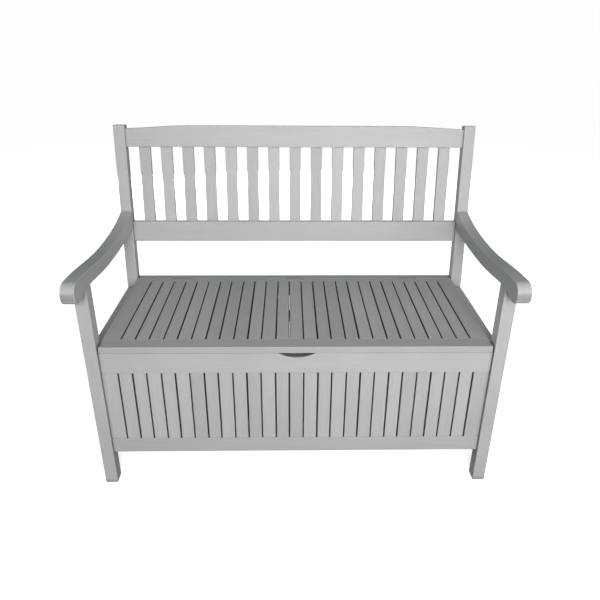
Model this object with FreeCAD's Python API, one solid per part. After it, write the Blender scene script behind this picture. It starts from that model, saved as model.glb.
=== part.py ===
"""Garden storage bench: slatted seat box with a hinged lid, curved arms and a reclined slatted back.

Millimetres.  X runs along the bench, Y from front to back, Z up.  Everything is drawn with Y = 0 on
the front faces of the front legs and Z = 0 on the floor, and is moved at export so that the origin
lies on the floor in the middle of the bench's outline.
"""
import FreeCAD, Part
import math
import os

Vector = FreeCAD.Vector
X_AXIS = Vector(1, 0, 0)
Y_AXIS = Vector(0, 1, 0)
Z_AXIS = Vector(0, 0, 1)

# Overall sizes
bench_width = 1100.0
seat_height = 445.0
post_front = 452.0
post_length = 483.5
recline = 7.0

# Timber sections
leg_width = 34.0
leg_depth = 37.0
post_depth = 32.0
lid_thickness = 18.6
board_thickness = 18.0
slat_thickness = 12.0
back_rail_thickness = 20.0
back_slat_thickness = 14.0
edge_round = 1.6
slat_round = 1.0

# Fits
glue_gap = 0.2
lid_side_gap = 1.8
lid_rest_gap = 0.3
tenon_depth = 10.0
tenon_shoulder = 6.0
groove_depth = 8.0

# Armrests
arm_rise = 209.0
arm_dip_drop = 18.0
arm_back_rise = 11.0
arm_dip_thickness = 38.0
arm_back_thickness = 50.5
arm_leg_thickness = 43.0
nose_reach = 77.5
nose_radius = 30.0
chin_radius = 22.0
arm_tenon = 22.0
arm_tenon_width = 11.0

# How far the armrest's curves run straight on from their ends
crest_pull = 0.36
chin_pull = Vector(0, 20, 0)
leg_front_pull = Vector(0, 18, 4)
leg_rear_pull = Vector(0, 60, -4)
dip_front_pull = Vector(0, 90, 0)
dip_rear_pull = Vector(0, 95, 0)
dip_top_pull = Vector(0, 110, 0)
post_low_pull = Vector(0, 70, 12)
post_top_pull = Vector(0, 65, 19)

# Front panel
panel_setback = 8.0
slat_recess = 1.5
front_board_drop = 80.0
bottom_rail_low = 104.0
bottom_rail_high = 151.0
front_slat_count = 25
front_slat_gap = 4.0
front_end_board = 41.5
grip_width = 98.0
grip_depth = 14.0

# Side and back panels
side_rail_drop = 29.0
side_rail_height = 51.0
side_slat_count = 9
side_end_board = 25.5
seat_rail_height = 60.0
rear_slat_gap = 1.2

# Slats are ripped a little unevenly: the share of the gap by which they differ, and its rhythm
gap_spread = 0.35
gap_rhythm = 2.4

# Backrest, heights measured along the reclined posts from the seat
lower_rail_low = 125.0
lower_rail_high = 189.5
crest_rail_low = 419.0
crest_shoulder = 473.0
crest_rise = 9.0
crest_run = 206.0
crest_top_pull = 0.42
crest_end_pull = 0.35
crest_end_lift = 0.3
back_rail_setback = 6.0
back_slat_setback = 10.0
back_slat_count = 15
back_slat_width = 34.5
back_end_gap = 36.75
tenon_inset = 3.0

# Lid
lid_front = 6.5
lid_rail_width = 44.0
lid_rear_rail_width = 14.0
lid_slat_count = 25
lid_slat_gap = 4.0
lid_side_board = 47.2
batten_width = 40.0
batten_thickness = 18.0
batten_front_inset = 45.5
batten_rear_inset = 21.0
batten_end_gap = 8.0
screw_row_offset = 10.0
rail_screw_count = 8
edge_screw_inset = 8.0
lid_screw_length = 28.0

# Floor and ledgers
ledger_width = 20.0
ledger_height = 20.0
floor_thickness = 12.0
floor_board_count = 11
floor_board_gap = 1.5
floor_side_gap = 1.0

# Hinges
hinge_seam = 3.0
hinge_inset = 146.0
hinge_length = 60.0
leaf_thickness = 1.2
leaf_height = 15.0
knuckle_radius = 2.8
pin_radius = 1.4
pin_clearance = 0.05
knuckle_count = 5
knuckle_gap = 0.3
knuckle_relief = 0.4
screw_radius = 1.8
screw_length = 14.0
screw_end_cover = 1.0
screw_head_radius = 3.4
screw_spacing = 36.0
screw_drop = 9.0

# Furniture bolts and barrel nuts
bolt_radius = 3.0
bolt_hole_radius = 3.5
bolt_head_radius = 6.0
bolt_head_height = 5.0
head_hole_radius = 6.5
head_hole_depth = 7.0
bolt_reach = 34.0
nut_radius = 5.0
nut_cover = 5.0
nut_sink = 1.0
nut_shoulder = 1.0
bolt_overrun = 6.0
bolt_end_gap = 1.0
socket_radius = 2.0
socket_depth = 3.0
lid_screw_radius = 2.0
lid_screw_head = 3.8
lid_screw_head_height = 3.0
arm_bolt_grip = 46.0
arm_head_hole = 9.0

# How much a cutting tool reaches past the wood
overcut = 1.0

# Derived heights
arm_crest = seat_height + arm_rise
arm_dip = arm_crest - arm_dip_drop
arm_back_top = arm_crest + arm_back_rise
arm_under_dip = arm_dip - arm_dip_thickness
arm_under_back = arm_back_top - arm_back_thickness
leg_height = arm_crest - arm_leg_thickness
front_board_bottom = seat_height - front_board_drop
side_rail_top = seat_height - side_rail_drop
seat_rail_low = seat_height - seat_rail_height

# Derived places
leg_outer = bench_width / 2
leg_inner = leg_outer - leg_width
leg_middle = leg_outer - leg_width / 2
opening = 2 * leg_inner
lid_half = leg_inner - lid_side_gap
lid_low = seat_height - lid_thickness
lid_rear = post_front - hinge_seam
front_board_top = lid_low - lid_rest_gap
panel_back = panel_setback + board_thickness
panel_middle = panel_setback + board_thickness / 2
post_rear = post_front + post_depth
post_middle = post_front + post_depth / 2
hinge_y = post_front - hinge_seam / 2
arm_bolt_height = (arm_back_top + arm_under_back) / 2
lean = math.radians(recline)
side_rail_low = side_rail_top - side_rail_height
side_thickness = board_thickness
back_reach = post_front + post_length * math.sin(lean) + post_depth * math.cos(lean)
middle_y = (back_reach - nose_reach) / 2
nut_x = leg_inner - bolt_reach + bolt_overrun
nut_length = board_thickness - nut_cover
nut_inset = max(nut_length - board_thickness / 2 + nut_sink, bolt_hole_radius + nut_shoulder)
hinge_spread = leg_inner - hinge_inset
hinge_places = (-hinge_spread, 0.0, hinge_spread)
batten_first = lid_front + batten_front_inset
batten_last = lid_rear - batten_rear_inset
batten_middle = (batten_first + batten_last) / 2
batten_places = (batten_first, batten_middle, batten_last)
slat_screw_rows = (batten_first + screw_row_offset, batten_middle, batten_last - screw_row_offset)
rail_screw_rows = (batten_first - screw_row_offset, lid_rear - lid_rear_rail_width / 2)

# Derived slat pitches
front_slat_pitch = (opening - 2 * front_end_board - front_slat_gap) / front_slat_count
side_slat_pitch = (post_front - leg_depth - 2 * side_end_board - front_slat_gap) / side_slat_count
back_slat_pitch = (opening - 2 * back_end_gap - back_slat_width) / (back_slat_count - 1)
lid_slat_pitch = (2 * lid_half - 2 * lid_side_board - lid_slat_gap) / lid_slat_count
lid_slats_half = (lid_slat_count * lid_slat_pitch + lid_slat_gap) / 2


def post_face(height):
    """Y of a rear post's front face at a height above the seat level."""
    return post_front + (height - seat_height) * math.tan(lean)


def box(x0, x1, y0, y1, z0, z1):
    return Part.makeBox(x1 - x0, y1 - y0, z1 - z0, Vector(x0, y0, z0))


def rounded(shape, radius, direction=None):
    """Round the straight edges of a board, or only those along one direction."""
    edges = []
    for edge in shape.Edges:
        along = edge.tangentAt(edge.FirstParameter)
        if direction is None or abs(along.dot(direction)) > 0.99:
            edges.append(edge)
    return shape.makeFillet(radius, edges)


def board(x0, x1, y0, y1, z0, z1, radius=edge_round):
    return rounded(box(x0, x1, y0, y1, z0, z1), radius)


def rod(radius, length, start, direction):
    return Part.makeCylinder(radius, length, start, direction)


def prism(edges, x0, x1):
    """A side outline in the YZ plane, drawn at X = 0, given its width along X."""
    face = Part.Face(Part.Wire(edges))
    face.translate(Vector(x0, 0, 0))
    return face.extrude(Vector(x1 - x0, 0, 0))


def point(y, z):
    return Vector(0, y, z)


def line(start, end):
    return Part.LineSegment(start, end).toShape()


def arc(start, middle, end):
    return Part.Arc(start, middle, end).toShape()


def curve(*poles):
    bezier = Part.BezierCurve()
    bezier.setPoles(list(poles))
    return bezier.toShape()


def mirrored(shape):
    return shape.mirror(Vector(0, 0, 0), X_AXIS)


def leaned(shape):
    """Tilt something drawn upright at the seat level back by the recline."""
    tilted = shape.copy()
    tilted.rotate(Vector(0, post_front, seat_height), X_AXIS, -recline)
    return tilted


def cut(shape, tools):
    for tool in tools:
        shape = shape.cut(tool)
    return shape


def grown(x0, x1, y0, y1, z0, z1, gap=glue_gap):
    return box(x0 - gap, x1 + gap, y0 - gap, y1 + gap, z0 - gap, z1 + gap)


# Bolts
def side_bolt_places():
    """Right-hand bolts: Y, Z, distance back to the rail's rear face, and whether the joint leans."""
    front_high = (front_board_bottom + front_board_top) / 2
    bottom = (bottom_rail_low + bottom_rail_high) / 2
    back_y = post_front + back_rail_setback + back_rail_thickness / 2
    lower = seat_height + (lower_rail_low + lower_rail_high) / 2
    crest = seat_height + (crest_rail_low + crest_shoulder) / 2
    return [
        (panel_middle, front_high, board_thickness / 2, False),
        (panel_middle, bottom, board_thickness / 2, False),
        (post_middle, (seat_rail_low + seat_height) / 2, post_depth / 2, False),
        (post_middle, bottom, board_thickness / 2, False),
        (back_y, lower, back_rail_thickness / 2, True),
        (back_y, crest, back_rail_thickness / 2, True),
    ]


def place_bolt(shape, leans):
    return leaned(shape) if leans else shape


def bolt_holes(leans):
    """Head holes and clearance holes through the right-hand leg or post."""
    tools = []
    for y, z, _, leaning in side_bolt_places():
        if leaning != leans:
            continue
        head = rod(head_hole_radius, head_hole_depth, Vector(leg_outer, y, z), -X_AXIS)
        shank = rod(bolt_hole_radius, leg_width, Vector(leg_outer, y, z), -X_AXIS)
        tools.append(place_bolt(head.fuse(shank), leaning))
    return tools


def rail_end_holes(leans):
    """Shank and barrel-nut holes in both ends of the bolted rails; nuts go in from the rear face."""
    tools = []
    for y, z, to_rear, leaning in side_bolt_places():
        if leaning != leans:
            continue
        shank = rod(bolt_hole_radius, bolt_reach, Vector(leg_inner, y, z), -X_AXIS)
        depth = nut_inset + to_rear + glue_gap
        pocket = rod(nut_radius + glue_gap, depth, Vector(nut_x, y - nut_inset, z), Y_AXIS)
        hole = place_bolt(shank.fuse(pocket), leaning)
        tools.extend([hole, mirrored(hole)])
    return tools


def bolt(start, direction, length):
    """Socket-head bolt: the head's outer end is at start and the shank runs along direction."""
    head = rod(bolt_head_radius, bolt_head_height, start, direction)
    head = head.cut(rod(socket_radius, socket_depth, start, direction))
    return head.fuse(rod(bolt_radius, length, start, direction))


def frame_bolts():
    solids = []
    start_x = leg_outer - head_hole_depth + bolt_head_height
    length = start_x - (leg_inner - bolt_reach + bolt_end_gap)
    for y, z, _, leaning in side_bolt_places():
        solid = place_bolt(bolt(Vector(start_x, y, z), -X_AXIS, length), leaning)
        solids.extend([solid, mirrored(solid)])
    right = bolt(arm_bolt_start(), -Y_AXIS, arm_bolt_length())
    solids.extend([right, mirrored(right)])
    return solids


def barrel_nuts():
    solids = []
    for y, z, _, leaning in side_bolt_places():
        nut = rod(nut_radius, nut_length, Vector(nut_x, y - nut_inset, z), Y_AXIS)
        hole = rod(bolt_radius, nut_radius * 4, Vector(nut_x + nut_radius * 2, y, z), -X_AXIS)
        solid = place_bolt(nut.cut(hole), leaning)
        solids.extend([solid, mirrored(solid)])
    right = arm_nut(nut_radius).cut(rod(bolt_radius, arm_bolt_length(), arm_bolt_start(), -Y_AXIS))
    solids.extend([right, mirrored(right)])
    return solids


def arm_bolt_start():
    """Outer end of the bolt head, sunk into the back of the post."""
    back = post_face(arm_bolt_height) + post_depth / math.cos(lean)
    return Vector(leg_middle, back - arm_head_hole + bolt_head_height, arm_bolt_height)


def arm_bolt_length():
    return arm_bolt_start().y - (post_face(arm_bolt_height) - arm_bolt_grip)


def arm_nut(radius):
    """Barrel nut let up into the arm's underside, across the bolt."""
    y = post_face(arm_bolt_height) - arm_bolt_grip + bolt_overrun
    bottom = arm_bolt_height - nut_length / 2 - nut_sink
    return rod(radius, nut_length, Vector(leg_middle, y, bottom), Z_AXIS)


def arm_nut_hole():
    y = post_face(arm_bolt_height) - arm_bolt_grip + bolt_overrun
    depth = arm_bolt_height + nut_length / 2 - arm_under_dip
    return rod(nut_radius + glue_gap, depth, Vector(leg_middle, y, arm_under_dip), Z_AXIS)


# Legs, posts and arms
def leg_tenon(gap):
    y = leg_depth / 2
    half = arm_tenon / 2
    half_width = arm_tenon_width / 2
    return box(leg_middle - half_width - gap, leg_middle + half_width + gap, y - half - gap, y + half + gap,
               leg_height - gap, leg_height + arm_tenon + gap)


def side_rail_tenons(z0, z1, gap):
    """Stub tenons on both ends of a side rail, as tools or as wood."""
    half = slat_thickness / 2
    low = z0 + tenon_shoulder
    high = z1 - tenon_shoulder
    x0 = leg_middle - half
    x1 = leg_middle + half
    front = grown(x0, x1, leg_depth - tenon_depth, leg_depth, low, high, gap)
    rear = grown(x0, x1, post_front, post_front + tenon_depth, low, high, gap)
    return [front, rear]


def side_mortises():
    tools = side_rail_tenons(side_rail_low, side_rail_top, glue_gap)
    tools.extend(side_rail_tenons(bottom_rail_low, bottom_rail_high, glue_gap))
    return tools


def front_leg():
    leg = board(leg_inner, leg_outer, 0, leg_depth, 0, leg_height)
    leg = leg.fuse(leg_tenon(0))
    return cut(leg, side_mortises() + bolt_holes(False))


def rear_post():
    top_front = Vector(0, post_front + post_length * math.sin(lean),
                       seat_height + post_length * math.cos(lean))
    top_rear = top_front + Vector(0, post_depth * math.cos(lean), -post_depth * math.sin(lean))
    kink_rear = point(post_rear, seat_height - post_depth * math.tan(lean / 2))
    outline = [point(post_front, 0), point(post_front, seat_height), top_front, top_rear,
               kink_rear, point(post_rear, 0)]
    edges = [line(outline[i], outline[(i + 1) % len(outline)]) for i in range(len(outline))]
    post = prism(edges, leg_inner, leg_outer)
    ends = [edge for edge in post.Edges if abs(edge.tangentAt(edge.FirstParameter).x) < 0.5]
    crown = [edge for edge in post.Edges if edge.BoundBox.ZMin > top_rear.z - overcut and edge not in ends]
    post = post.makeFillet(edge_round, ends + crown)
    head_depth = arm_head_hole + post_depth
    start = arm_bolt_start() + Vector(0, arm_head_hole - bolt_head_height, 0)
    head = rod(head_hole_radius, arm_head_hole, start, -Y_AXIS)
    head = head.fuse(rod(head_hole_radius, arm_head_hole, start, Y_AXIS))
    shank = rod(bolt_hole_radius, head_depth, start, -Y_AXIS)
    return cut(post, side_mortises() + bolt_holes(False) + bolt_holes(True) + [head, shank])


def armrest():
    crest_y = nose_radius - nose_reach
    chin_y = chin_radius - nose_reach
    nose_z = arm_crest - nose_radius
    tip = point(-nose_reach, nose_z)
    turn = math.sqrt(0.5)
    dip_y = post_front / 2
    back_top = point(post_face(arm_back_top), arm_back_top)
    back_low = point(post_face(arm_under_back), arm_under_back)
    chin_low = point(chin_y, nose_z - chin_radius)
    seat_start = point(0, leg_height)
    seat_end = point(leg_depth, leg_height)
    crest = point(crest_y, arm_crest)
    nose_middle = point(crest_y - nose_radius * turn, nose_z + nose_radius * turn)
    chin_middle = point(chin_y - chin_radius * turn, nose_z - chin_radius * turn)
    dip_low = point(dip_y, arm_under_dip)
    dip_top = point(dip_y, arm_dip)
    run = Vector(0, (dip_y - crest_y) * crest_pull, 0)
    edges = [
        arc(crest, nose_middle, tip),
        arc(tip, chin_middle, chin_low),
        curve(chin_low, chin_low + chin_pull, seat_start - leg_front_pull, seat_start),
        line(seat_start, seat_end),
        curve(seat_end, seat_end + leg_rear_pull, dip_low - dip_front_pull, dip_low),
        curve(dip_low, dip_low + dip_rear_pull, back_low - post_low_pull, back_low),
        line(back_low, back_top),
        curve(back_top, back_top - post_top_pull, dip_top + dip_top_pull, dip_top),
        curve(dip_top, dip_top - run, crest + run, crest),
    ]
    arm = prism(edges, leg_inner, leg_outer)
    rims = []
    for edge in arm.Edges:
        inside = abs(edge.tangentAt(edge.FirstParameter).x) < 0.5
        at_post = edge.BoundBox.YMin > back_low.y - overcut
        if inside and not at_post:
            rims.append(edge)
    arm = arm.makeFillet(edge_round, rims)
    shank = rod(bolt_hole_radius, arm_bolt_length(), arm_bolt_start(), -Y_AXIS)
    return cut(arm, [leg_tenon(glue_gap), arm_nut_hole(), shank])


# Side panels
def side_top_rail():
    rail = board(leg_inner, leg_outer, leg_depth, post_front, side_rail_low, side_rail_top)
    for tenon in side_rail_tenons(side_rail_low, side_rail_top, 0):
        rail = rail.fuse(tenon)
    return rail.cut(side_groove(side_rail_low, side_rail_low + groove_depth))


def side_bottom_rail():
    half = side_thickness / 2
    rail = board(leg_middle - half, leg_middle + half, leg_depth, post_front, bottom_rail_low,
                 bottom_rail_high)
    for tenon in side_rail_tenons(bottom_rail_low, bottom_rail_high, 0):
        rail = rail.fuse(tenon)
    return rail.cut(side_groove(bottom_rail_high - groove_depth, bottom_rail_high))


def side_groove(z0, z1):
    half = slat_thickness / 2 + glue_gap
    return box(leg_middle - half, leg_middle + half, leg_depth, post_front, z0, z1)


def side_slats():
    half = slat_thickness / 2
    middle = (leg_depth + post_front) / 2
    width = side_slat_pitch - front_slat_gap
    solids = []
    for index in range(side_slat_count):
        y = middle + (index - (side_slat_count - 1) / 2) * side_slat_pitch
        solids.append(board(leg_middle - half, leg_middle + half, y - width / 2, y + width / 2,
                            bottom_rail_high - groove_depth, side_rail_low + groove_depth, slat_round))
    for y0, y1 in ((leg_depth, leg_depth + side_end_board), (post_front - side_end_board, post_front)):
        solids.append(board(leg_middle - half, leg_middle + half, y0, y1,
                            bottom_rail_high - groove_depth, side_rail_low + groove_depth, slat_round))
    return solids


# Front panel
def front_groove(z0, z1):
    y0 = panel_setback + slat_recess
    return box(-leg_inner, leg_inner, y0 - glue_gap, y0 + slat_thickness + glue_gap, z0, z1)


def front_board():
    face = board(-leg_inner, leg_inner, panel_setback, panel_back, front_board_bottom, front_board_top)
    radius = (grip_width ** 2 / 4 + grip_depth ** 2) / (2 * grip_depth)
    centre = Vector(0, panel_setback - overcut, front_board_top - grip_depth + radius)
    grip = rod(radius, board_thickness + 2 * overcut, centre, Y_AXIS)
    face = face.cut(grip)
    rims = [edge for edge in face.Edges if is_grip_edge(edge)]
    face = face.makeFillet(edge_round, rims)
    face = face.cut(front_groove(front_board_bottom, front_board_bottom + groove_depth))
    return cut(face, rail_end_holes(False))


def is_grip_edge(edge):
    """The two long curved rims of the finger grip, the only edges that dip to its bottom."""
    bounds = edge.BoundBox
    return bounds.XLength > grip_width / 2 and abs(bounds.ZMin - front_board_top + grip_depth) < 0.5


def front_bottom_rail():
    rail = board(-leg_inner, leg_inner, panel_setback, panel_back, bottom_rail_low, bottom_rail_high)
    rail = rail.cut(front_groove(bottom_rail_high - groove_depth, bottom_rail_high))
    return cut(rail, rail_end_holes(False))


def slat_row(count, pitch, gap, y0, y1, z0, z1):
    """Slats side by side along X, centred, without the two wider boards at the ends."""
    solids = []
    for index in range(count):
        x = (index - (count - 1) / 2) * pitch
        width = pitch - gap * (1 + gap_spread * math.sin(index * gap_rhythm))
        solids.append(board(x - width / 2, x + width / 2, y0, y1, z0, z1, slat_round))
    return solids


def end_boards(half_width, count, pitch, gap, y0, y1, z0, z1):
    """The two wider boards between a slat row and the frame."""
    inner = (count * pitch + gap) / 2
    right = board(inner, half_width, y0, y1, z0, z1, slat_round)
    return [mirrored(right), right]


def front_slat_space():
    y0 = panel_setback + slat_recess
    return (front_slat_count, front_slat_pitch, front_slat_gap, y0, y0 + slat_thickness,
            bottom_rail_high - groove_depth, front_board_bottom + groove_depth)


# Back panel
def back_panel_front():
    return post_middle - slat_thickness / 2


def back_groove(z0, z1):
    y0 = back_panel_front()
    return box(-leg_inner, leg_inner, y0 - glue_gap, y0 + slat_thickness + glue_gap, z0, z1)


def seat_rail():
    rail = board(-leg_inner, leg_inner, post_front, post_rear, seat_rail_low, seat_height)
    rail = rail.cut(back_groove(seat_rail_low, seat_rail_low + groove_depth))
    rail = cut(rail, hinge_reliefs() + hinge_screws(1))
    return cut(rail, rail_end_holes(False))


def rear_bottom_rail():
    half = board_thickness / 2
    rail = board(-leg_inner, leg_inner, post_middle - half, post_middle + half, bottom_rail_low,
                 bottom_rail_high)
    rail = rail.cut(back_groove(bottom_rail_high - groove_depth, bottom_rail_high))
    return cut(rail, rail_end_holes(False))


def rear_slats():
    y0 = back_panel_front()
    space = (front_slat_count, front_slat_pitch, rear_slat_gap, y0, y0 + slat_thickness,
             bottom_rail_high - groove_depth, seat_rail_low + groove_depth)
    return slat_row(*space) + end_boards(leg_inner, *space)


# Backrest, drawn upright on the seat level and then leaned
def back_slat_mortises(gap):
    y0 = post_front + back_slat_setback + tenon_inset
    y1 = y0 + back_slat_thickness - 2 * tenon_inset
    tools = []
    for index in range(back_slat_count):
        x = back_slat_x(index)
        half = back_slat_width / 2 - tenon_inset
        low = seat_height + lower_rail_high - tenon_depth
        high = seat_height + crest_rail_low + tenon_depth
        tools.append(grown(x - half, x + half, y0, y1, low, high, gap))
    return tools


def back_slat_x(index):
    return (index - (back_slat_count - 1) / 2) * back_slat_pitch


def lower_back_rail():
    y0 = post_front + back_rail_setback
    rail = board(-leg_inner, leg_inner, y0, y0 + back_rail_thickness, seat_height + lower_rail_low,
                 seat_height + lower_rail_high)
    rail = cut(rail, back_slat_mortises(glue_gap))
    return cut(leaned(rail), rail_end_holes(True))


def crest_rail():
    y0 = post_front + back_rail_setback
    low = seat_height + crest_rail_low
    side = seat_height + crest_shoulder
    top = side + crest_rise
    end = leg_inner
    flat = end - crest_run
    foot = Vector(end, y0, low)
    shoulder = Vector(end, y0, side)
    shoulder_pull = shoulder + Vector(-crest_run * crest_end_pull, 0, crest_rise * crest_end_lift)
    summit = Vector(flat, y0, top)
    summit_pull = summit + Vector(crest_run * crest_top_pull, 0, 0)
    right_side = [line(foot, shoulder), curve(shoulder, shoulder_pull, summit_pull, summit)]
    left_side = [mirrored(edge) for edge in right_side]
    left_foot = Vector(-end, y0, low)
    left_summit = Vector(-flat, y0, top)
    edges = right_side + [line(summit, left_summit)] + left_side + [line(left_foot, foot)]
    outline = Part.Wire(Part.__sortEdges__(edges))
    rail = Part.Face(outline).extrude(Vector(0, back_rail_thickness, 0))
    rims = [edge for edge in rail.Edges if abs(edge.tangentAt(edge.FirstParameter).x) > 0.5]
    rail = rail.makeFillet(edge_round, rims)
    rail = cut(rail, back_slat_mortises(glue_gap))
    return cut(leaned(rail), rail_end_holes(True))


def back_slat(index):
    x = back_slat_x(index)
    y0 = post_front + back_slat_setback
    half = back_slat_width / 2
    slat = rounded(box(x - half, x + half, y0, y0 + back_slat_thickness, seat_height + lower_rail_high,
                       seat_height + crest_rail_low), edge_round, Z_AXIS)
    tenon = back_slat_mortises(0)[index]
    return leaned(slat.fuse(tenon))


# Lid
def lid_rail(y0, y1):
    return board(-lid_half, lid_half, y0, y1, lid_low, seat_height)


def lid_front_rail():
    return lid_screw_holes(lid_rail(lid_front, lid_front + lid_rail_width), 0)


def lid_rear_rail():
    rail = lid_screw_holes(lid_rail(lid_rear - lid_rear_rail_width, lid_rear), 0)
    return cut(rail, hinge_reliefs() + hinge_screws(-1))


def lid_slat_space():
    return (lid_slat_count, lid_slat_pitch, lid_slat_gap, lid_front + lid_rail_width,
            lid_rear - lid_rear_rail_width, lid_low, seat_height)


def lid_screw_places():
    """X and Y of every screw that holds the lid's slats, side boards and rails to its battens."""
    edge_x = lid_slats_half + edge_screw_inset
    slat_xs = [(index - (lid_slat_count - 1) / 2) * lid_slat_pitch for index in range(lid_slat_count)]
    rail_xs = [edge_x * (2 * index / (rail_screw_count - 1) - 1) for index in range(rail_screw_count)]
    places = [(x, y) for y in slat_screw_rows for x in [-edge_x] + slat_xs + [edge_x]]
    places.extend((x, y) for y in rail_screw_rows for x in rail_xs)
    return places


def lid_screw_holes(shape, gap):
    """Cut the lid screws out of a batten, board or slat that they pass through."""
    bounds = shape.BoundBox
    for x, y in lid_screw_places():
        if bounds.XMin < x < bounds.XMax and bounds.YMin < y < bounds.YMax:
            shape = shape.cut(lid_screw(Vector(x, y, lid_low - batten_thickness), gap))
    return shape


def lid_batten(y):
    half = lid_half - ledger_width - batten_end_gap
    y0 = y - batten_width / 2
    plank = board(-half, half, y0, y0 + batten_width, lid_low - batten_thickness, lid_low)
    return lid_screw_holes(plank, glue_gap / 2)


def lid_screw(start, gap):
    head = Part.makeCone(lid_screw_head + gap, lid_screw_radius + gap, lid_screw_head_height, start, Z_AXIS)
    return head.fuse(rod(lid_screw_radius + gap, lid_screw_length, start, Z_AXIS))


def lid_screws():
    return [lid_screw(Vector(x, y, lid_low - batten_thickness), 0) for x, y in lid_screw_places()]


# Hinges
def hinge_reliefs():
    """Room for the hinge barrels in the lid's rear rail and in the seat rail."""
    length = hinge_length + 2 * knuckle_relief
    tools = []
    for x in hinge_places:
        tools.append(rod(knuckle_radius + knuckle_relief, length,
                         Vector(x - length / 2, hinge_y, seat_height), X_AXIS))
    return tools


def knuckle_span(index):
    """Start and end of one barrel segment, counted from the hinge's left end."""
    pitch = hinge_length / knuckle_count
    return index * pitch + knuckle_gap / 2, (index + 1) * pitch - knuckle_gap / 2


def hinge_leaf(x, side):
    """One leaf with its barrel segments; side is 1 for the seat rail and -1 for the lid."""
    inner = hinge_y + side * (hinge_seam / 2 - leaf_thickness)
    outer = hinge_y + side * hinge_seam / 2
    y0 = min(inner, outer)
    left = x - hinge_length / 2
    leaf = box(left, left + hinge_length, y0, y0 + leaf_thickness, seat_height - leaf_height, seat_height)
    for index in range(knuckle_count):
        start, end = knuckle_span(index)
        if index % 2 == (0 if side == 1 else 1):
            barrel = rod(knuckle_radius, end - start, Vector(left + start, hinge_y, seat_height), X_AXIS)
            leaf = leaf.fuse(barrel)
        else:
            room_start = Vector(left + start - knuckle_gap, hinge_y, seat_height)
            room_length = end - start + 2 * knuckle_gap
            leaf = leaf.cut(rod(knuckle_radius + knuckle_relief, room_length, room_start, X_AXIS))
    bore = rod(pin_radius + pin_clearance, hinge_length, Vector(left, hinge_y, seat_height), X_AXIS)
    leaf = leaf.cut(bore)
    for screw_x in hinge_screw_xs(x):
        leaf = leaf.cut(hinge_screw(screw_x, side, glue_gap / 2))
    return leaf


def hinge_screw_xs(x):
    return (x - screw_spacing / 2, x, x + screw_spacing / 2)


def hinge_screw(x, side, gap):
    """Countersunk screw, its head flush with the leaf's face in the seam."""
    face_y = hinge_y + side * (hinge_seam / 2 - leaf_thickness)
    start = Vector(x, face_y, seat_height - screw_drop)
    direction = Y_AXIS * side
    length = screw_length if side == 1 else lid_rear_rail_width - screw_end_cover
    head = Part.makeCone(screw_head_radius + gap, screw_radius + gap, leaf_thickness, start, direction)
    return head.fuse(rod(screw_radius + gap, length, start, direction))


def hinge_screws(side):
    return [hinge_screw(screw_x, side, 0) for x in hinge_places for screw_x in hinge_screw_xs(x)]


def hinge_pins():
    return [rod(pin_radius, hinge_length, Vector(x - hinge_length / 2, hinge_y, seat_height), X_AXIS)
            for x in hinge_places]


# Box floor and ledgers
def floor_ledger(y0):
    """Batten that carries the floor boards, along the front or the rear bottom rail."""
    z1 = bottom_rail_low + ledger_height
    return board(-leg_inner, leg_inner, y0, y0 + ledger_width, bottom_rail_low, z1)


def rear_ledger_front():
    return post_middle - board_thickness / 2 - ledger_width


def floor_boards():
    """Loose-laid boards from front to back, resting on the two ledgers."""
    pitch = (2 * leg_inner - floor_board_gap) / floor_board_count
    width = pitch - floor_board_gap
    z0 = bottom_rail_low + ledger_height
    y1 = rear_ledger_front() + ledger_width
    solids = []
    for index in range(floor_board_count):
        x = (index - (floor_board_count - 1) / 2) * pitch
        plank = board(x - width / 2, x + width / 2, panel_back, y1, z0, z0 + floor_thickness, slat_round)
        solids.append(cut(plank, corner_notches(z0)))
    return solids


def corner_notches(z0):
    """Room in the outer boards for the side bottom rails."""
    inner = leg_middle - side_thickness / 2 - floor_side_gap
    right = box(inner, leg_outer, 0, post_rear, z0 - overcut, z0 + floor_thickness + overcut)
    return [right, mirrored(right)]


def lid_ledger():
    """Batten inside the right-hand side rail that the lid's edge rests on."""
    return board(leg_inner - ledger_width, leg_inner, panel_back, post_front, side_rail_low,
                 lid_low - lid_rest_gap)


def export(name, solids):
    if not isinstance(solids, list):
        solids = [solids]
    pieces = []
    for solid in solids:
        pieces.extend(solid.Solids)
    shape = Part.makeCompound(pieces) if len(pieces) > 1 else pieces[0]
    shape.translate(Vector(0, -middle_y, 0))
    shape.exportStep("parts/" + name + ".step")


def export_pair(name, shape):
    export(name + "_left", mirrored(shape))
    export(name + "_right", shape)


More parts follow.
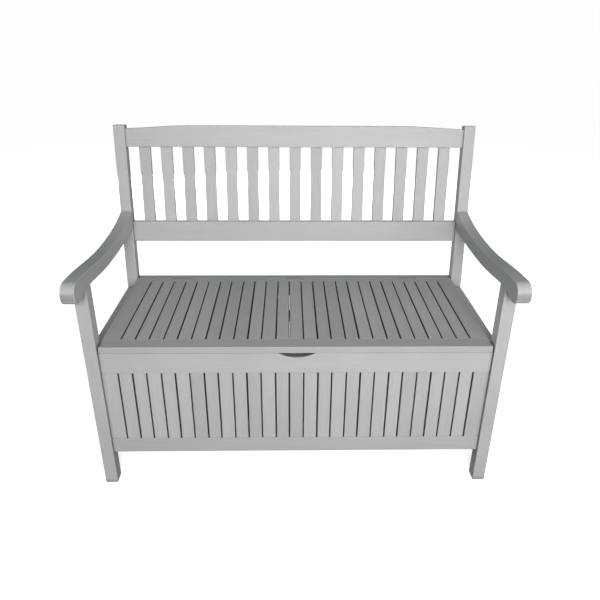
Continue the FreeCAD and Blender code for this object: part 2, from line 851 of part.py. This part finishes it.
def main():
    os.makedirs("parts", exist_ok=True)
    export_pair("front_leg", front_leg())
    export_pair("rear_post", rear_post())
    export_pair("armrest", armrest())
    export_pair("side_top_rail", side_top_rail())
    export_pair("side_bottom_rail", side_bottom_rail())
    export_pair("side_slats", Part.makeCompound(side_slats()))
    export("front_board", front_board())
    export("front_bottom_rail", front_bottom_rail())
    export("front_slats", slat_row(*front_slat_space()))
    export("front_end_boards", end_boards(leg_inner, *front_slat_space()))
    export("seat_hinge_rail", seat_rail())
    export("rear_bottom_rail", rear_bottom_rail())
    export("rear_slats", rear_slats())
    export("back_lower_rail", lower_back_rail())
    export("back_crest_rail", crest_rail())
    for index in range(back_slat_count):
        export("back_slat_%02d" % (index + 1), back_slat(index))
    export("floor_ledger_front", floor_ledger(panel_back))
    export("floor_ledger_rear", floor_ledger(rear_ledger_front()))
    export("floor_boards", floor_boards())
    export_pair("lid_ledger", lid_ledger())
    export("lid_front_rail", lid_front_rail())
    export("lid_rear_rail", lid_rear_rail())
    side_boards = end_boards(lid_half, *lid_slat_space())
    export("lid_side_boards", [lid_screw_holes(plank, 0) for plank in side_boards])
    export("lid_slats", [lid_screw_holes(slat, 0) for slat in slat_row(*lid_slat_space())])
    for number, y in enumerate(batten_places):
        export("lid_batten_%d" % (number + 1), lid_batten(y))
    export("lid_screws", lid_screws())
    export("hinge_rail_leaves", [hinge_leaf(x, 1) for x in hinge_places])
    export("hinge_lid_leaves", [hinge_leaf(x, -1) for x in hinge_places])
    export("hinge_pins", hinge_pins())
    export("hinge_rail_screws", hinge_screws(1))
    export("hinge_lid_screws", hinge_screws(-1))
    export("frame_bolts", frame_bolts())
    export("barrel_nuts", barrel_nuts())


main()
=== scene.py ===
"""Looks of the storage bench: painted timber, painted hinges and zinc fixings, in soft studio light."""
import math

import bpy
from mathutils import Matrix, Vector


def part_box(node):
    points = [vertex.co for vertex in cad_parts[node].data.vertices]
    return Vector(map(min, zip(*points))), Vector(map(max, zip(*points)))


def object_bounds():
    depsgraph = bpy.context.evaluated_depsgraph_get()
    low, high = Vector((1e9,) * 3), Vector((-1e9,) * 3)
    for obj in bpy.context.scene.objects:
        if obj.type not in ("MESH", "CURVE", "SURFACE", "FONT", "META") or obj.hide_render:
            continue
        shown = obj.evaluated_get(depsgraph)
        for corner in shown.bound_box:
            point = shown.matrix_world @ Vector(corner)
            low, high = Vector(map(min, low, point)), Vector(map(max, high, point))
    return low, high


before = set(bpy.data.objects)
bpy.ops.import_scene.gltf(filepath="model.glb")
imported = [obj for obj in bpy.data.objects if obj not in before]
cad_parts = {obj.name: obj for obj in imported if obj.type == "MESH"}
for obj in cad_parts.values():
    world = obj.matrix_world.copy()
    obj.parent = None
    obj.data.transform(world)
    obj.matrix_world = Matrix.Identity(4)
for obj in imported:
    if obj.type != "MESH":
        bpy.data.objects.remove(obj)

cad_low, cad_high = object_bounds()

# Colours, as linear light
PAINT = (0.436, 0.437, 0.438)
COOL_TINT = (0.985, 1.0, 0.985)
WARM_TINT = (1.015, 1.0, 0.99)
END_GRAIN = (0.20, 0.195, 0.185)
HINGE_PAINT = (0.2, 0.2, 0.2)
ZINC = (0.36, 0.35, 0.33)
SPOT_SHADE = 0.85

# Texture scales, per metre
FIBRE_SCALE = 260.0
BAND_SCALE = 38.0
PATCH_SCALE = 6.0
RING_SCALE = 90.0
SPOT_SCALE = 400.0
# Scale of the fibres and bands along the grain, as a share of their scale across it
GRAIN_STRETCH = 0.035
# The range that a noise texture mostly keeps to
NOISE_RANGE = (0.3, 0.7)

# Darkest and lightest share of the paint's colour: by board, fibres, bands, patches, and painted shade in
# crevices
BOARD_TONES = (0.93, 1.05)
FIBRE_TONES = (0.95, 1.03)
BAND_TONES = (0.978, 1.018)
PATCH_TONES = (0.975, 1.02)
CREVICE_PAINTED_SHADE_TONES = (0.34, 1.0)
# Least and most of the sawn ends' own colour that shows, between and on the growth rings
RING_SHARES = (0.45, 0.8)
# How far the painted crevice shade reaches, in metres, and how open a crevice is where that painted shade is
# darkest and lightest
CREVICE_REACH = 0.022
CREVICE_OPENNESS = (0.35, 0.85)

PAINT_ROUGHNESS = (0.41, 0.53)
PAINT_SPECULAR = 0.3
METAL_ROUGHNESS = (0.44, 0.58)
# Strength, and height in metres
FIBRE_BUMP = (0.22, 0.0006)
BAND_BUMP = (0.25, 0.0012)

# Seeds for the boards' tones: single boards, back slats, and rows, which lie further apart
BOARD_SEED = 1.0
BACK_SLAT_SEED = 40.0
ROW_SEED = 60.5
ROW_SEED_STEP = 100
SEED_SHIFT = 0.137
# How far apart the boards lie in the grain texture, in metres at most
GRAIN_SHIFT = 7.0

# Single boards: node and grain axis
GRAIN = {
    "front_leg_left": "z", "front_leg_right": "z", "rear_post_left": "z", "rear_post_right": "z",
    "armrest_left": "y", "armrest_right": "y", "side_top_rail_left": "y", "side_top_rail_right": "y",
    "side_bottom_rail_left": "y", "side_bottom_rail_right": "y", "front_board": "x",
    "front_bottom_rail": "x", "seat_hinge_rail": "x", "rear_bottom_rail": "x", "back_lower_rail": "x",
    "back_crest_rail": "x", "floor_ledger_front": "x", "floor_ledger_rear": "x", "lid_ledger_left": "y",
    "lid_ledger_right": "y", "lid_front_rail": "x", "lid_rear_rail": "x", "lid_batten_1": "x",
    "lid_batten_2": "x", "lid_batten_3": "x",
}
# Rows of boards in one node: grain axis, axis of the row and how many pitches the row is long
ROWS = {
    "front_slats": ("z", "x", 24.9), "front_end_boards": ("z", "x", 2), "rear_slats": ("z", "x", 27.3),
    "side_slats_left": ("z", "y", 10.375), "side_slats_right": ("z", "y", 10.375),
    "floor_boards": ("y", "x", 11), "lid_slats": ("y", "x", 24.9), "lid_side_boards": ("y", "x", 2),
}
HINGES = ("hinge_rail_leaves", "hinge_lid_leaves", "hinge_pins")
FIXINGS = ("hinge_rail_screws", "hinge_lid_screws", "lid_screws", "frame_bolts", "barrel_nuts")

# Camera: lens and sensor in millimetres, place in metres, turn in degrees
LENS = 34.64
SENSOR = 36.0
CAMERA_PLACE = (-0.0191, -1.5252, 1.1988)
CAMERA_TURN = (64.539, -0.358, -1.005)

# Studio, in metres: flat floor, bend of the sweep around it, and reach of the brighter ring
FLOOR_MIDDLE = 0.05
FLOOR_INNER = 1.0
FLOOR_FLAT = 8.0
SWEEP_BEND = 9.0
SWEEP_STEPS = 14
SHEET_SIDES = 96
PAPER_COLOUR = (0.8, 0.8, 0.8, 1.0)
PAPER_ROUGHNESS = 0.9
GLOW_COLOUR = (1.0, 1.0, 1.0, 1.0)
GLOW_REACH = (0.7, 3.0)
GLOW_STRENGTHS = (0.62, 0.85)
WORLD_COLOUR = (0.80, 0.95, 1.08, 1.0)
WORLD_STRENGTH = 0.16


def link(tree, start, end):
    tree.links.new(start, end)


def new_node(tree, kind, **values):
    """A shader node, with each value put on its socket or, without such a socket, on the node."""
    node = tree.nodes.new(kind)
    for name, value in values.items():
        if name in node.inputs:
            node.inputs[name].default_value = value
        else:
            setattr(node, name, value)
    return node


def new_material(name):
    material = bpy.data.materials.new(name)
    material.use_nodes = True
    tree = material.node_tree
    return material, tree, tree.nodes["Principled BSDF"]


def object_place(tree):
    return tree.nodes.new("ShaderNodeTexCoord").outputs["Object"]


def math_node(tree, operation, first, second):
    node = new_node(tree, "ShaderNodeMath", operation=operation)
    for socket, value in zip(node.inputs, (first, second)):
        if isinstance(value, (int, float)):
            socket.default_value = value
        else:
            link(tree, value, socket)
    return node.outputs[0]


def mix_colour(tree, blend, factor, first, second):
    """A mix of two colours, each a socket or three numbers."""
    node = new_node(tree, "ShaderNodeMix", data_type="RGBA", blend_type=blend)
    # A mix node keeps sockets for every kind of data: 0 is the factor, 6 and 7 are the colours
    sockets = (node.inputs[0], node.inputs[6], node.inputs[7])
    for socket, value in zip(sockets, (factor, first, second)):
        if isinstance(value, bpy.types.NodeSocket):
            link(tree, value, socket)
        elif isinstance(value, tuple):
            socket.default_value = (*value, 1.0)
        else:
            socket.default_value = value
    return node.outputs[2]


def ramp(tree, source, low, high, first, second):
    """A value that runs from first to second while the source runs from low to high."""
    node = tree.nodes.new("ShaderNodeMapRange")
    node.inputs["From Min"].default_value = low
    node.inputs["From Max"].default_value = high
    node.inputs["To Min"].default_value = first
    node.inputs["To Max"].default_value = second
    link(tree, source, node.inputs["Value"])
    return node.outputs[0]


def bump(tree, texture, strength, height, below=None):
    node = new_node(tree, "ShaderNodeBump", Strength=strength, Distance=height)
    link(tree, texture.outputs["Fac"], node.inputs["Height"])
    if below:
        link(tree, below, node.inputs["Normal"])
    return node.outputs["Normal"]


def board_index(tree, place, row):
    """The board's number in its row, counted from the middle. A single board is number 0."""
    if row is None:
        return 0.0
    axis, pitch, centre = row
    split = tree.nodes.new("ShaderNodeSeparateXYZ")
    link(tree, place, split.inputs[0])
    along = split.outputs["xyz".index(axis)]
    steps = math_node(tree, "DIVIDE", math_node(tree, "SUBTRACT", along, centre), pitch)
    return math_node(tree, "FLOOR", math_node(tree, "ADD", steps, 0.5), 0.0)


def grain_textures(tree, place, shift_colour, grain_axis):
    """Fine fibres and broader bands along the grain, from another part of the log for each board."""
    spread = new_node(tree, "ShaderNodeVectorMath", operation="SCALE", Scale=GRAIN_SHIFT)
    link(tree, shift_colour, spread.inputs[0])
    shift = new_node(tree, "ShaderNodeVectorMath", operation="ADD")
    link(tree, place, shift.inputs[0])
    link(tree, spread.outputs[0], shift.inputs[1])

    scale = [1.0, 1.0, 1.0]
    scale["xyz".index(grain_axis)] = GRAIN_STRETCH
    stretch = new_node(tree, "ShaderNodeMapping", Scale=scale)
    link(tree, shift.outputs[0], stretch.inputs["Vector"])

    fibres = new_node(tree, "ShaderNodeTexNoise", Scale=FIBRE_SCALE, Detail=5.0, Roughness=0.6)
    bands = new_node(tree, "ShaderNodeTexNoise", Scale=BAND_SCALE, Detail=3.0, Roughness=0.5, Distortion=0.6)
    for texture in (fibres, bands):
        link(tree, stretch.outputs[0], texture.inputs["Vector"])
    return fibres, bands


def painted_crevice_shade(tree):
    """Painted shade in the joints and in the gaps between slats, darkest where ambient occlusion finds them
    most closed.
    """
    near = new_node(tree, "ShaderNodeAmbientOcclusion", samples=8, Distance=CREVICE_REACH)
    return ramp(tree, near.outputs["AO"], *CREVICE_OPENNESS, *CREVICE_PAINTED_SHADE_TONES)


def end_grain_share(tree, grain_axis):
    """0 on the faces along the grain and more on the sawn ends, in growth rings."""
    coordinates = tree.nodes.new("ShaderNodeTexCoord")
    parts = tree.nodes.new("ShaderNodeSeparateXYZ")
    link(tree, coordinates.outputs["Normal"], parts.inputs[0])
    facing = math_node(tree, "ABSOLUTE", parts.outputs["xyz".index(grain_axis)], 0.0)
    ends = ramp(tree, facing, 0.9, 0.98, 0.0, 1.0)
    rings = new_node(tree, "ShaderNodeTexWave", wave_type="RINGS", Scale=RING_SCALE, Distortion=6.0, Detail=2.0)
    link(tree, coordinates.outputs["Object"], rings.inputs["Vector"])
    strength = ramp(tree, rings.outputs["Fac"], 0.0, 1.0, *RING_SHARES)
    return math_node(tree, "MULTIPLY", ends, strength)


def painted_wood(name, grain_axis, seed, row=None):
    """Satin paint over planed timber, its grain along one axis, with one tone for each board."""
    material, tree, shader = new_material(name)
    place = object_place(tree)
    chance = new_node(tree, "ShaderNodeTexWhiteNoise", noise_dimensions="1D")
    number = math_node(tree, "ADD", board_index(tree, place, row), seed + SEED_SHIFT)
    link(tree, number, chance.inputs["W"])

    fibres, bands = grain_textures(tree, place, chance.outputs["Color"], grain_axis)
    patches = new_node(tree, "ShaderNodeTexNoise", Scale=PATCH_SCALE, Detail=2.0)
    link(tree, place, patches.inputs["Vector"])

    board_tone = ramp(tree, chance.outputs["Value"], 0.0, 1.0, *BOARD_TONES)
    fibre_tone = ramp(tree, fibres.outputs["Fac"], *NOISE_RANGE, *FIBRE_TONES)
    band_tone = ramp(tree, bands.outputs["Fac"], *NOISE_RANGE, *BAND_TONES)
    patch_tone = ramp(tree, patches.outputs["Fac"], *NOISE_RANGE, *PATCH_TONES)
    tone = math_node(tree, "MULTIPLY", math_node(tree, "MULTIPLY", board_tone, fibre_tone),
                     math_node(tree, "MULTIPLY", band_tone, patch_tone))

    warmth = ramp(tree, chance.outputs["Value"], 0.2, 0.8, 0.0, 1.0)
    tint = mix_colour(tree, "MIX", warmth, COOL_TINT, WARM_TINT)
    paint = mix_colour(tree, "MULTIPLY", 1.0, PAINT, tint)
    colour = mix_colour(tree, "MIX", end_grain_share(tree, grain_axis), paint, END_GRAIN)
    shaded = new_node(tree, "ShaderNodeVectorMath", operation="SCALE")
    link(tree, colour, shaded.inputs[0])
    # The colour takes the board's tones and the painted shade in joints and gaps.
    link(tree, math_node(tree, "MULTIPLY", tone, painted_crevice_shade(tree)), shaded.inputs["Scale"])
    link(tree, shaded.outputs[0], shader.inputs["Base Color"])

    sheen = ramp(tree, patches.outputs["Fac"], *NOISE_RANGE, *PAINT_ROUGHNESS)
    link(tree, sheen, shader.inputs["Roughness"])
    shader.inputs["Specular IOR Level"].default_value = PAINT_SPECULAR
    relief = bump(tree, bands, *BAND_BUMP, below=bump(tree, fibres, *FIBRE_BUMP))
    link(tree, relief, shader.inputs["Normal"])
    return material


def metal(name, colour, metallic):
    """Painted or plated metal, a little darker and smoother in small spots."""
    material, tree, shader = new_material(name)
    spots = new_node(tree, "ShaderNodeTexNoise", Scale=SPOT_SCALE, Detail=3.0)
    link(tree, object_place(tree), spots.inputs["Vector"])
    share = ramp(tree, spots.outputs["Fac"], *NOISE_RANGE, 0.0, 1.0)
    spot_colour = tuple(part * SPOT_SHADE for part in colour)
    link(tree, mix_colour(tree, "MIX", share, spot_colour, colour), shader.inputs["Base Color"])
    sheen = ramp(tree, spots.outputs["Fac"], *NOISE_RANGE, *METAL_ROUGHNESS)
    link(tree, sheen, shader.inputs["Roughness"])
    shader.inputs["Metallic"].default_value = metallic
    return material


def assign(node, material):
    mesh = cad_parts[node].data
    mesh.materials.clear()
    mesh.materials.append(material)


def dress():
    """Give every node of the frame its material."""
    for number, (node, axis) in enumerate(sorted(GRAIN.items())):
        assign(node, painted_wood("paint_" + node, axis, BOARD_SEED + number))
    back_slats = sorted(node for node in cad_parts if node.startswith("back_slat_"))
    for number, node in enumerate(back_slats):
        assign(node, painted_wood("paint_" + node, "z", BACK_SLAT_SEED + number))
    for number, (node, (axis, row_axis, pitches)) in enumerate(sorted(ROWS.items())):
        low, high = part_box(node)
        way = "xyz".index(row_axis)
        row = (row_axis, (high[way] - low[way]) / pitches, (high[way] + low[way]) / 2)
        assign(node, painted_wood("paint_" + node, axis, ROW_SEED + ROW_SEED_STEP * number, row))
    hinge_paint = metal("hinge_paint", HINGE_PAINT, 0.0)
    zinc = metal("zinc", ZINC, 1.0)
    for node in HINGES:
        assign(node, hinge_paint)
    for node in FIXINGS:
        assign(node, zinc)


def area_light(name, place, target, size, power, colour):
    data = bpy.data.lights.new(name, "AREA")
    data.shape = "RECTANGLE"
    data.size, data.size_y = size
    data.energy = power
    data.color = colour
    light = bpy.data.objects.new(name, data)
    bpy.context.scene.collection.objects.link(light)
    light.location = place
    light.rotation_euler = (Vector(target) - Vector(place)).to_track_quat("-Z", "Y").to_euler()
    return light


def studio():
    """A key in front, an accent on the backrest, a fill at each side and one low behind."""
    middle = (cad_low + cad_high) / 2
    backrest = Vector((0.35, 0.25, 0.72))
    area_light("key", (0.15, -3.5, 1.9), middle, size=(1.8, 1.2), power=136.0, colour=(1.0, 0.985, 0.965))
    accent = area_light("accent", (1.5, -3.1, 1.0), backrest, size=(0.8, 0.8), power=1.9,
                        colour=(1.0, 0.99, 0.97))
    accent.data.spread = math.radians(45.0)
    area_light("right_fill", (3.6, -0.4, 0.9), middle, size=(1.4, 1.2), power=34.0, colour=(1.0, 0.93, 0.86))
    area_light("left_fill", (-3.6, 0.4, 0.9), middle, size=(1.4, 1.2), power=26.0, colour=(1.0, 0.98, 0.95))
    back = area_light("back_fill", (-0.5, 3.7, 0.35), middle, size=(1.8, 0.5), power=110.0,
                      colour=(1.0, 0.98, 0.95))
    back.visible_glossy = False
    world = bpy.data.worlds.new("studio")
    bpy.context.scene.world = world
    world.use_nodes = True
    background = world.node_tree.nodes["Background"]
    background.inputs["Color"].default_value = WORLD_COLOUR
    background.inputs["Strength"].default_value = WORLD_STRENGTH


def paper():
    """White studio paper that glows a little, more so away from the bench."""
    material, tree, shader = new_material("floor_paper")
    shader.inputs["Base Color"].default_value = PAPER_COLOUR
    shader.inputs["Roughness"].default_value = PAPER_ROUGHNESS
    shader.inputs["Emission Color"].default_value = GLOW_COLOUR
    reach = new_node(tree, "ShaderNodeVectorMath", operation="LENGTH")
    link(tree, object_place(tree), reach.inputs[0])
    glow = ramp(tree, reach.outputs["Value"], *GLOW_REACH, *GLOW_STRENGTHS)
    link(tree, glow, shader.inputs["Emission Strength"])
    return material


def round_sheet(name, outline, material, closed):
    """A sheet turned about the Z axis from a list of radii and heights, closed at its first ring or open."""
    points = []
    faces = []
    for radius, height in outline:
        for side in range(SHEET_SIDES):
            turn = 2 * math.pi * side / SHEET_SIDES
            points.append((radius * math.cos(turn), radius * math.sin(turn), height))
    for side in range(SHEET_SIDES):
        after = (side + 1) % SHEET_SIDES
        for ring in range(len(outline) - 1):
            low, high = ring * SHEET_SIDES, (ring + 1) * SHEET_SIDES
            faces.append((low + side, high + side, high + after, low + after))
    if closed:
        faces.append(tuple(range(SHEET_SIDES)))
    mesh = bpy.data.meshes.new(name)
    mesh.from_pydata(points, [], faces)
    mesh.materials.append(material)
    piece = bpy.data.objects.new(name, mesh)
    bpy.context.scene.collection.objects.link(piece)
    piece.visible_diffuse = False
    piece.visible_glossy = False
    return piece


def floor():
    """A white floor whose far edge curves up behind the bench on every side."""
    material = paper()
    flat = [(FLOOR_MIDDLE, 0.0), (FLOOR_INNER, 0.0), (FLOOR_FLAT, 0.0)]
    round_sheet("floor", flat, material, closed=True)
    rise = []
    for step in range(SWEEP_STEPS + 1):
        angle = step / SWEEP_STEPS * math.pi / 2
        rise.append((FLOOR_FLAT + SWEEP_BEND * math.sin(angle), SWEEP_BEND * (1 - math.cos(angle))))
    sweep = round_sheet("sweep", rise, material, closed=False)
    sweep.visible_shadow = False


def camera():
    data = bpy.data.cameras.new("camera")
    data.lens = LENS
    data.sensor_width = SENSOR
    piece = bpy.data.objects.new("camera", data)
    bpy.context.scene.collection.objects.link(piece)
    piece.location = CAMERA_PLACE
    piece.rotation_euler = [math.radians(angle) for angle in CAMERA_TURN]
    bpy.context.scene.camera = piece


dress()
studio()
floor()
camera()
bpy.context.scene.view_settings.view_transform = "Standard"
